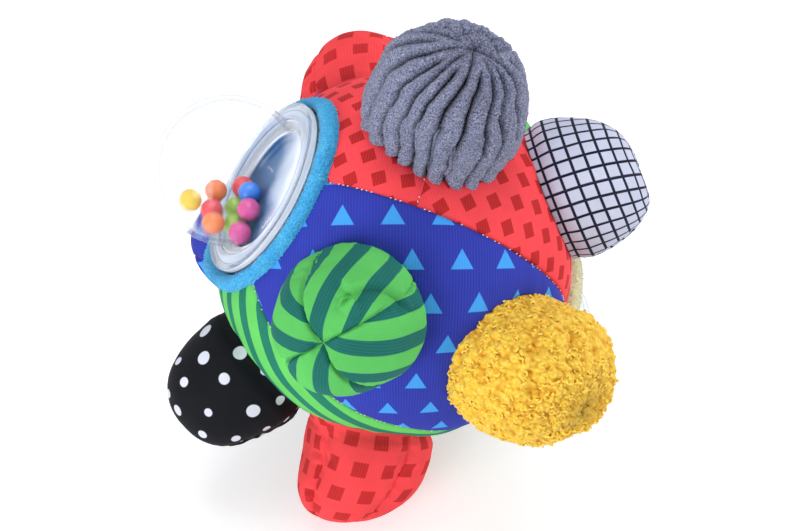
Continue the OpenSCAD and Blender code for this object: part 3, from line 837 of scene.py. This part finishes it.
def curlStamp():
    work = bmesh.new()
    ring = bmesh.ops.create_circle(
        work, segments=4, radius=curl["thickness"], matrix=Matrix.Translation((curl["turn"], 0, 0))
        @ Matrix.Rotation(math.pi / 2, 4, "X")
    )
    edges = list(dict.fromkeys(edge for vert in ring["verts"] for edge in vert.link_edges))
    bmesh.ops.spin(
        work, geom=ring["verts"] + edges, cent=(0, 0, 0), axis=(0, 0, 1),
        angle=math.radians(curl["sweep"]), steps=6, use_duplicate=False,
    )
    bmesh.ops.holes_fill(work, edges=work.edges[:], sides=4)
    bmesh.ops.recalc_face_normals(work, faces=work.faces[:])
    return meshFrom("curlStamp", work)


def scatterStamp(work, stamp, places):
    for place in places:
        copy = stamp.copy()
        copy.transform(place)
        work.from_mesh(copy)
        bpy.data.meshes.remove(copy)
    bpy.data.meshes.remove(stamp)


def fleeceKnobCover(knob):
    rings = curl["rings"]
    work, along, depth, length = spinKnob(knob, 0, 352, rings, 10)
    hollow = work.verts.layers.float["hollow"]
    chance = random.Random(11)
    order = {}  # a spin leaves its faces in no fixed order, so the draw goes by ring and turn
    for face in work.faces:
        ring = sum(vert[along] for vert in face.verts) / len(face.verts) / length * rings
        order[face] = (round(ring - 0.5), fromSeam(knob, face.calc_center_median()))

    def height(vert):
        place = vert.co
        swirl = noise.noise_vector(place / (2.4 * mm)) * 0.9 * mm
        clump, bead = (min(noise.voronoi((place + swirl) / curl[size])[0][0], 1) for size in ("clump", "bead"))
        # painted shade: the hollow value darkens the clefts between the clumps and beads
        vert[hollow] = min(0.55 * clump**1.5 + 0.65 * bead**1.5, 1)
        broad = curl["broadHigh"] * noiseAt(place, 12 * mm)
        return curl["clumpHigh"] * (0.7 - clump**2) + curl["beadHigh"] * (0.6 - bead**1.6) + broad - 0.6 * mm

    shapeKnob(work, knob, along, depth, length, height)
    work.normal_update()
    outside = outsideOf(work, depth)
    broad = [face for face in outside if max(vert[along] for vert in face.verts) < length - curl["bare"]]
    stamp, places = curlStamp(), []
    for face in chance.sample(sorted(broad, key=order.get), curl["loose"]):
        spot = face.calc_center_median() + face.normal * chance.uniform(-0.1, 0.35) * mm
        stand = face.normal.to_track_quat("Y", "Z").to_matrix().to_4x4()
        lean = Matrix.Rotation(chance.uniform(0, math.tau), 4, "Y") @ Matrix.Rotation(chance.gauss(0, 0.9), 4, "X")
        spin = Matrix.Rotation(chance.uniform(0, math.tau), 4, "Z") @ Matrix.Scale(chance.uniform(0.7, 1.15), 4)
        places.append(Matrix.Translation(spot) @ stand @ lean @ spin)
    raisePile(work, outside, curl["pile"])
    scatterStamp(work, stamp, places)
    work.transform(siteMatrix(knob["angles"]))
    return work


uneven = 0.004  # how lumpy the fillings are, as a share of their size


def knobFilling(knob):
    work, along, depth, length = spinKnob(knob, knob["wall"] + 3 * ball["softGap"], 48, 20, 0)
    _, _, foot, top = knobOutline(knob, 0, 4)
    sag = leanOf(knob)
    for vert in work.verts:
        place = drawIn(knob, vert.co, foot, top) + trimmed(knob, vert.co, vert[along])
        place *= 1 + uneven * noiseAt(place, 5 * mm) - uneven
        place.y *= knob["narrow"]
        place += Vector((*knob["nudge"], 0)) * ramp(vert[along], held["eased"])
        vert.co = place + sag * max((place.z - foot) / (top - foot), 0) ** 2
    setDown(work, depth, knob, least=knob["wall"] + ball["softGap"])
    return work


coverMakers = {
    "ribbed_knob": ribbedKnobCover,
    "fleece_knob": fleeceKnobCover,
    "plush_back_knob": plushKnobCover,
}
for knob in knobs:
    cover = coverMakers.get(knob["name"], printedKnobCover)(knob)
    makePiece(knob["name"] + "_skin", cover, [knob["name"] + "_cover"])
    makePiece(knob["name"] + "_stuffing", knobFilling(knob), [knob["name"] + "_filling"])
print("knobs made")

# Clear domes: bubble, cup and plush collar, worked out in a dome's own frame
dome = {
    "bubble": 23.8, "wall": 1.6, "cup": 20.2, "cupWall": 1.5, "cupDepth": 2.8,
    "flange": 29.3, "flangeThickness": 1.6, "tray": 26.9, "rim": 1.2, "roll": 3.9,
}
dome["seat"] = math.sqrt(59.5**2 - dome["flange"] ** 2) - 0.5
dome["centre"] = dome["seat"] + 13.2
domes = {"left": (0, 0), "back": ball["backDomeAngles"]}


def arcPoints(centre, radius, first, last, count):
    turns = [math.radians(first + (last - first) * i / count) for i in range(count + 1)]
    return [(centre[0] + radius * math.sin(turn), centre[1] + radius * math.cos(turn)) for turn in turns]


def closedSpin(points, steps, closed=False):
    work = bmesh.new()
    verts = [work.verts.new((x * mm, 0, z * mm)) for x, z in points]
    spinOutline(work, verts, steps, closed)
    return work


def bubbleShell():
    centre, seat = dome["centre"], dome["seat"]
    neck = dome["cup"] + dome["wall"]
    top = seat + dome["flangeThickness"]
    inside = dome["bubble"] - dome["wall"]
    outerTurn = 180 - math.degrees(math.asin(neck / dome["bubble"]))
    innerTurn = 180 - math.degrees(math.asin(dome["cup"] / inside))
    edge = dome["flange"]
    points = arcPoints((0, centre), dome["bubble"], 0, outerTurn, 48)  # blown wall, then the steps of the flange
    points += arcPoints((neck + 1.1, top + 1.1), 1.1, 270, 180, 5)
    points += arcPoints((neck + 2.2, top), 0.55, 270, 450, 6)
    points += [(edge - 2.3, top), (edge - 1.9, top + 0.2)]
    points += arcPoints((edge - 1.0, top + 0.2), 0.8, 270, 360, 4)
    points += arcPoints((edge - 0.8, top + 0.2), 0.8, 0, 90, 4)
    points += arcPoints((edge - 0.5, seat + 0.5), 0.5, 90, 180, 3)
    points += [(dome["cup"], seat)]
    points += arcPoints((0, centre), inside, innerTurn, 0, 48)
    return closedSpin(points, 128)


def cupTray():
    seat = dome["seat"] - 0.1
    floor = dome["seat"] - dome["cupDepth"]
    cup, wall = dome["cup"], dome["cupWall"]
    points = [(0, floor + 0.5), (3.5, floor + 0.4), (5, floor)]  # a low boss in the middle, then wall, rim and back
    points += arcPoints((cup - 1.2, floor + 1.2), 1.2, 180, 90, 5)
    points += arcPoints((cup + 0.3, seat - 0.3), 0.3, 270, 360, 3)
    points += arcPoints((dome["tray"] - 0.4, seat - 0.4), 0.4, 0, 90, 3)
    points += [(dome["tray"], seat - dome["rim"]), (cup + wall, seat - dome["rim"])]
    points += arcPoints((cup + wall - 1.5, floor - wall + 1.5), 1.5, 90, 180, 5)
    points += [(0, floor - wall)]
    return closedSpin(points, 96)


# The collars' rolls, and how the left one is drawn in or out round the dome: angle, outwards, along the axis
collars = {
    "left": {
        "x": 1.9, "z": -2.2, "wide": 2.3, "tall": 3.6, "pile": 0.55,
        "ways": ((0, 0.2, 0.9), (45, 1.4, 0.9), (75, 0.6, 0.7), (100, -1.0, -0.2), (150, -1.2, -1), (205, -0.8, 0),
                 (240, 2.8, 2.4), (270, 0.8, 1.6), (310, -0.9, 0.9), (360, 0.2, 0.9)),
    },
    "back": {"x": 2.6, "z": 1.2, "wide": 3.9, "tall": 4.4, "pile": 0.75, "ways": ((0, 0, 0), (360, 0, 0))},
}


def wayAt(ways, angle):
    for first, second in zip(ways, ways[1:]):
        if angle <= second[0]:
            share = (angle - first[0]) / (second[0] - first[0])
            share = share * share * (3 - 2 * share)
            return [a + (b - a) * share for a, b in zip(first[1:], second[1:])]


def plushCollar(side):
    roll = collars[side]
    rollX = dome["flange"] + roll["x"]
    rollZ = dome["seat"] - 1.6 + roll["z"]
    points = []
    for x, z in arcPoints((0, 0), 1, 0, 360, 60)[:-1]:
        x, z = rollX + roll["wide"] * x, rollZ + roll["tall"] * z
        points.append((max(x, dome["flange"] + 0.35), z))
    work = closedSpin(points, 300, closed=True)
    for vert in work.verts:
        lump = 0.5 * noiseAt(vert.co, 7 * mm) + 0.12 * noiseAt(vert.co, 2.2 * mm)
        outward, upward = wayAt(roll["ways"], math.degrees(math.atan2(vert.co.y, vert.co.x)) % 360)
        away = Vector((vert.co.x, vert.co.y, 0)).normalized()
        free = (vert.co.xy.length / mm - dome["flange"] - 0.35) / (roll["x"] + roll["wide"])
        vert.co += (away * outward + Vector((0, 0, upward))) * ramp(free, 1) * mm
        vert.co *= 1 + lump * mm / vert.co.length
    work.normal_update()
    outside = (dome["flange"] + 0.6) * mm
    raisePile(work, [f for f in work.faces if f.calc_center_median().xy.length > outside], roll["pile"] * mm)
    return work


for side, angles in domes.items():
    for label, maker, fill in (("bubble", bubbleShell, None), ("tray", cupTray, None), ("collar", plushCollar, 0.7)):
        work = maker(side) if label == "collar" else maker()
        axis = (leftAxis if side == "left" else backAxis).copy()
        rim = ballCentre + axis * dome["seat"] * mm
        if label == "bubble":
            for face in work.faces:
                spot = face.calc_center_median() / mm
                low, wide = dome["seat"] + 2.2, dome["cup"] + dome["wall"] + 1
                face.material_index = int(spot.z < low and spot.xy.length > wide)
        work.transform(siteMatrix(angles))
        piece = makePiece(f"{side}_{label}_piece", work, [f"{side}_{label}"])
        if label == "bubble":
            piece.data.materials.append(flangePlastic(side + "Flange", rim, axis))
        if label == "tray":
            # the side of the cup where the painted shade and reflection are darkest
            shadeSide = Vector((-0.9, 0.2, 0.5))
            towardPaintedShade = shadeSide - axis * axis.dot(shadeSide)
            piece.data.materials[0] = cupPlastic(side + "Cup", rim, axis, towardPaintedShade.normalized())
print("domes made")


# Beads: lightly faceted balls where the frame has them
def beadBall(place, radius, turn):
    work = bmesh.new()
    bmesh.ops.create_icosphere(work, subdivisions=2, radius=radius)
    bmesh.ops.bevel(
        work, geom=work.edges[:], offset=0.22 * mm, offset_type="OFFSET", segments=2, profile=0.5,
        affect="EDGES", material=-1,
    )
    work.transform(Matrix.Translation(place) @ Matrix.Rotation(turn, 4, Vector((1, 2, 3))))
    return work


for side, count in (("left", 10), ("back", 8)):
    for i in range(1, count + 1):
        node = f"{side}_bead_{i}"
        low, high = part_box(node)
        body = next(name for name, names in frame["record"]["behaviour"]["bodies"].items() if node in names)
        makePiece(node + "_ball", beadBall((low + high) / 2, (high.x - low.x) / 2, 1.3 * i), [node], body=body)
print("beads made")

# Body gores: a grid wrapped on the ball between two seams, holes cut for knobs and domes
gores = [
    {"name": "blue_front_panel", "first": 302, "last": 377, "grain": 0, "shift": (2.5, 8.55), "middle": (0, -0.7, 0.7)},
    {"name": "red_front_panel", "first": 377, "last": 471, "grain": 10.8, "shift": (9.0, 6.0), "join": 64.5},
    {"name": "blue_back_panel", "first": 471, "last": 526, "grain": 0, "shift": (0, 0)},
    {"name": "red_back_panel", "first": 526, "last": 587, "grain": 12, "shift": (0, 0)},
    {"name": "green_panel", "first": 587, "last": 662, "grain": None, "turn": -5, "shift": (4.1, 0)},
]
joined = {"grain": 40, "shift": (5.5, 3.4)}  # the short piece of the red panel, next to the dome
gridSteps = (80, 180)
printUp = sewing.inverted() @ Vector((0.16, 0.7, 0.7))


collarHole = {"left": 31.0, "back": 31.5}
holes = [
    (unitAt(*map(math.radians, k["angles"])), k.get("hole", k["base"] * k["share"] - ball["softGap"])) for k in knobs
]
holes += [(unitAt(*map(math.radians, angles)), collarHole[side] * mm) for side, angles in domes.items()]
holes = [(axis, math.asin(reach / ball["radius"])) for axis, reach in holes]


def toHoles(place):  # distance to the nearest knob's hole and to the nearest dome's
    return [
        min(place.angle(axis) - reach for axis, reach in some) * ball["radius"] for some in (holes[:-2], holes[-2:])
    ]


def gorePanel(gore):
    work = bmesh.new()
    bmesh.ops.create_grid(work, x_segments=gridSteps[0], y_segments=gridSteps[1], size=1)
    first, last = math.radians(gore["first"]), math.radians(gore["last"])
    low, high = holes[-2][1], math.radians(178)
    sheet = work.loops.layers.uv.new("cloth")
    angles = {}
    for vert in work.verts:
        polar = low + (high - low) * (vert.co.y + 1) / 2
        azimuth = first + (last - first) * (vert.co.x + 1) / 2
        angles[vert] = (polar, azimuth)
        vert.co = unitAt(polar, azimuth)
    middle = unitAt(1.5, (first + last) / 2)
    if "middle" in gore:
        middle = sewing.inverted() @ Vector(gore["middle"])
    north = (printUp - middle * printUp.dot(middle)).normalized()
    east = north.cross(middle)
    for face in work.faces:
        beyond = sum(angles[vert][0] for vert in face.verts) / len(face.verts)
        for loop in face.loops:
            polar, azimuth = angles[loop.vert]
            cloth = joined if math.degrees(beyond) < gore.get("join", 0) else gore
            if gore["grain"] is None:
                flat = Vector(((azimuth - (first + last) / 2) * math.sin(polar), polar - math.pi / 2))
                flat.rotate(Matrix.Rotation(math.radians(gore["turn"]), 2))
            else:
                spot = loop.vert.co
                away = spot.angle(middle)
                flat = Vector((spot.dot(east), spot.dot(north))) * (away / max(math.sin(away), 1e-6))
                flat.rotate(Matrix.Rotation(math.radians(cloth["grain"]), 2))
            loop[sheet].uv = flat * ball["radius"] / mm + Vector(cloth["shift"])
    cutHoles(work)
    for vert in work.verts:
        place = vert.co.normalized()
        polar = math.acos(max(-1, min(1, place.z)))
        azimuth = math.atan2(place.y, place.x)
        fromFirst = (azimuth - first + math.pi) % math.tau - math.pi
        toSeam = min(abs(fromFirst), abs(last - first - fromFirst)) * math.sin(polar) * ball["radius"]
        if "join" in gore:
            toSeam = min(toSeam, abs(polar - math.radians(gore["join"])) * ball["radius"])
        toHole, toDome = (max(far, 0) for far in toHoles(place))
        vert.co = place * (ball["radius"] + panelHeight(place, toSeam, toHole, toDome))
    work.transform(Matrix.Translation(ballCentre) @ sewing.to_4x4())
    bmesh.ops.recalc_face_normals(work, faces=work.faces[:])
    if sum((f.calc_center_median() - ballCentre).dot(f.normal) for f in work.faces) < 0:
        bmesh.ops.reverse_faces(work, faces=work.faces[:])
    return work


def cutHoles(work):
    for axis, reach in holes:
        inside = {vert for vert in work.verts if vert.co.angle(axis) < reach}
        gone = [face for face in work.faces if all(vert in inside for vert in face.verts)]
        bmesh.ops.delete(work, geom=gone, context="FACES")
        for vert in work.verts:
            if vert.co.angle(axis) < reach:
                away = (vert.co - axis * vert.co.dot(axis)).normalized()
                vert.co = axis * math.cos(reach) + away * math.sin(reach)


# The stuffed body: how high or deep each thing is and how wide, and swells by direction, height and width
stuffed = {
    "high": {
        "roll": 0.85 * mm, "seam": 0.55 * mm, "knob": 0.7 * mm, "dome": 2.4 * mm, "pucker": 0.16 * mm,
        "drawn": 0.5 * mm, "lump": 0.45 * mm,
    },
    "wide": {
        "roll": 5 * mm, "seam": 0.8 * mm, "knob": 2.4 * mm, "dome": 4.5 * mm, "pucker": 2.2 * mm,
        "drawn": 5 * mm, "lump": 17 * mm,
    },
    "puckered": 3 * mm, "flat": 0.2 * mm,
    "swells": (((0.163, -0.769, -0.619), 2.0, 15), ((0.974, -0.218, -0.064), -1.1, 13)),
}
swells = [
    (sewing.inverted() @ Vector(way).normalized(), high * mm, wide * mm) for way, high, wide in stuffed["swells"]
]


def panelHeight(place, toSeam, toHole, toDome):
    high, wide, along = stuffed["high"], stuffed["wide"], place * ball["radius"]
    roll = -high["roll"] * fade(toSeam, wide["roll"]) - high["seam"] * bell(toSeam, wide["seam"])
    sink = -high["knob"] * fade(toHole, wide["knob"]) - high["dome"] * fade(toDome, wide["dome"])
    swell = sum(tall * bell(place.angle(way) * ball["radius"], broad) for way, tall, broad in swells)
    pucker = high["pucker"] * noiseAt(along, wide["pucker"]) * fade(toSeam, stuffed["puckered"])
    drawn = high["drawn"] * noiseAt(along, wide["drawn"]) * fade(toHole, wide["drawn"])
    lumps = high["lump"] * noiseAt(along, wide["lump"]) - stuffed["flat"]
    return roll + sink + swell + pucker + drawn + lumps


for gore in gores:
    panel = makePiece(gore["name"] + "_cloth", gorePanel(gore), [gore["name"]])
    thicken = panel.modifiers.new("thickness", "SOLIDIFY")
    thicken.thickness = ball["panelThickness"] * 0.8
    thicken.offset = -1
    if gore["name"].startswith("red"):
        panel.data.materials[0] = finishes["red_panel"]
print("panels made")


# Stitches: short thread ends that show here and there along the seams
stitch = {"size": (0.18, 0.38, 0.17), "step": 1.55, "shown": 0.55, "proud": 0.25}


def stitchRows():
    work = bmesh.new()
    bmesh.ops.create_icosphere(work, subdivisions=1, radius=mm)
    bmesh.ops.scale(work, vec=stitch["size"], verts=work.verts[:])
    stamp = meshFrom("stitchStamp", work)
    work = bmesh.new()
    chance = random.Random(5)
    step = stitch["step"] * mm / ball["radius"]
    rows = [((i * step, math.radians(gore["first"])), 90) for gore in gores for i in range(int(math.pi / step))]
    for gore in gores:
        if "join" in gore:
            polar = math.radians(gore["join"])
            width = math.radians(gore["last"] - gore["first"])
            count = int(width * math.sin(polar) / step)
            rows += [((polar, math.radians(gore["first"]) + width * i / count), 0) for i in range(1, count)]
    places = []
    for (polar, azimuth), turn in rows:
        place = unitAt(polar, azimuth)
        toHole, toDome = toHoles(place)
        clear = min(toHole, toDome) > 0.8 * mm
        shown, tilt = chance.random() < stitch["shown"], chance.gauss(0.5, 0.25)
        if clear and shown:
            stand = siteMatrix((math.degrees(polar), math.degrees(azimuth)))
            height = ball["radius"] + panelHeight(place, 0, toHole, toDome) + stitch["proud"] * mm
            lift = Matrix.Translation((0, 0, height))
            places.append(stand @ lift @ Matrix.Rotation(math.radians(turn) + tilt, 4, "Z"))
    scatterStamp(work, stamp, places)
    return work


threadFinish = plainPlastic("whiteThread", "eef0f6", 0.7)
stitches = makePiece("seam_stitches", stitchRows(), [])
stitches.data.materials.append(threadFinish)
print("stitches made")


stuffing = {"gap": 1.2 * mm, "lump": 0.3 * mm, "underDome": 44.5 * mm}


def bodyStuffing():
    work = bmesh.new()
    radius = ball["radius"] - ball["panelThickness"] - stuffing["gap"]
    bmesh.ops.create_icosphere(work, subdivisions=5, radius=radius)
    for vert in work.verts:
        place = vert.co.normalized()
        for angles in domes.values():
            axis = unitAt(*map(math.radians, angles))
            reach = vert.co.dot(axis)
            if reach > stuffing["underDome"]:
                vert.co -= axis * (reach - stuffing["underDome"])
        vert.co += place * stuffing["lump"] * noise.noise(place * 9)
    work.transform(Matrix.Translation(ballCentre) @ sewing.to_4x4())
    return work


makePiece("body_stuffing", bodyStuffing(), ["body_filling"])
for name in ("chime_case_lower", "chime_case_upper", "chime_hub", "chime_rods", "striker_pin", "chime_striker"):
    materials = frame["nodes"][name].data.materials
    materials.clear()
    materials.append(finishes[slotOf[name]])
print("stuffing and chime finished")


# Camera at the photograph's viewing angle: ways in space, and distances from the ball's middle
view = {
    "right": (0.987, -0.1145, -0.1153), "back": (0, -0.7097, 0.7045), "lens": 74.3, "sensor": 36,
    "across": 1.485 * mm, "down": 3.465 * mm, "away": 545 * mm,
}
lamps = {  # place, size and power
    "keyLamp": ((-0.66, -0.72, 0.3), 0.5, 6.6),
    "topLamp": ((0.1, 0.15, 0.95), 0.7, 4.2),
    "sideLamp": ((0.85, -0.15, 0.18), 0.4, 3.6),
}
floorLook = {"size": 4, "grey": 0.82, "glow": 0.42, "sky": (0.93, 0.96, 1.0), "skyLight": 0.5}


def addCamera():
    right = Vector(view["right"]).normalized()
    back = Vector(view["back"]).normalized()
    up = back.cross(right).normalized()
    right = up.cross(back)
    data = bpy.data.cameras.new("camera")
    data.lens = view["lens"]
    data.sensor_width = view["sensor"]
    data.clip_start = 0.01
    camera = addObject("camera", data)
    place = ballCentre + right * view["across"] - up * view["down"] + back * view["away"]
    camera.matrix_world = Matrix.Translation(place) @ Matrix((right, up, back)).transposed().to_4x4()
    bpy.context.scene.camera = camera


def addLamp(name, place, size, power):
    data = bpy.data.lights.new(name, "AREA")
    data.size = size
    data.energy = power
    lamp = addObject(name, data)
    lamp.location = place
    lamp.rotation_mode = "QUATERNION"
    lamp.rotation_quaternion = (ballCentre - Vector(place)).to_track_quat("-Z", "Y")


def paleStage():
    work = bmesh.new()
    bmesh.ops.create_grid(work, x_segments=4, y_segments=4, size=floorLook["size"])
    floor = addObject("floor", meshFrom("floor", work))
    finish, tree, shader = newFinish("paleFloor", roughness=0.9)
    sums = partial(mathNode, tree)
    shader.inputs["Base Color"].default_value = (*[floorLook["grey"]] * 3, 1)
    light = tree.nodes.new("ShaderNodeLightPath")
    seen = sums("MAXIMUM", light.outputs["Is Camera Ray"], light.outputs["Is Glossy Ray"])
    seen = sums("MAXIMUM", seen, light.outputs["Is Transmission Ray"])
    shader.inputs["Emission Color"].default_value = (1, 1, 1, 1)
    tree.links.new(sums("MULTIPLY", seen, floorLook["glow"]), shader.inputs["Emission Strength"])
    floor.data.materials.append(finish)
    world = bpy.data.worlds.new("world")
    bpy.context.scene.world = world
    world.use_nodes = True
    nodes, links = world.node_tree.nodes, world.node_tree.links
    plain = nodes["Background"]
    plain.inputs["Color"].default_value = (*floorLook["sky"], 1)
    plain.inputs["Strength"].default_value = floorLook["skyLight"]
    white = nodes.new("ShaderNodeBackground")
    white.inputs["Color"].default_value = (1, 1, 1, 1)
    mix = nodes.new("ShaderNodeMixShader")
    path = nodes.new("ShaderNodeLightPath")
    shown = mathNode(world.node_tree, "MAXIMUM", path.outputs["Is Camera Ray"], path.outputs["Is Transmission Ray"])
    shown = mathNode(world.node_tree, "MAXIMUM", shown, path.outputs["Is Glossy Ray"])
    links.new(shown, mix.inputs[0])
    links.new(plain.outputs[0], mix.inputs[1])
    links.new(white.outputs[0], mix.inputs[2])
    links.new(mix.outputs[0], nodes["World Output"].inputs[0])


addCamera()
paleStage()
for name, settings in lamps.items():
    addLamp(name, *settings)
bpy.context.scene.view_settings.view_transform = "Standard"
print("stage made")
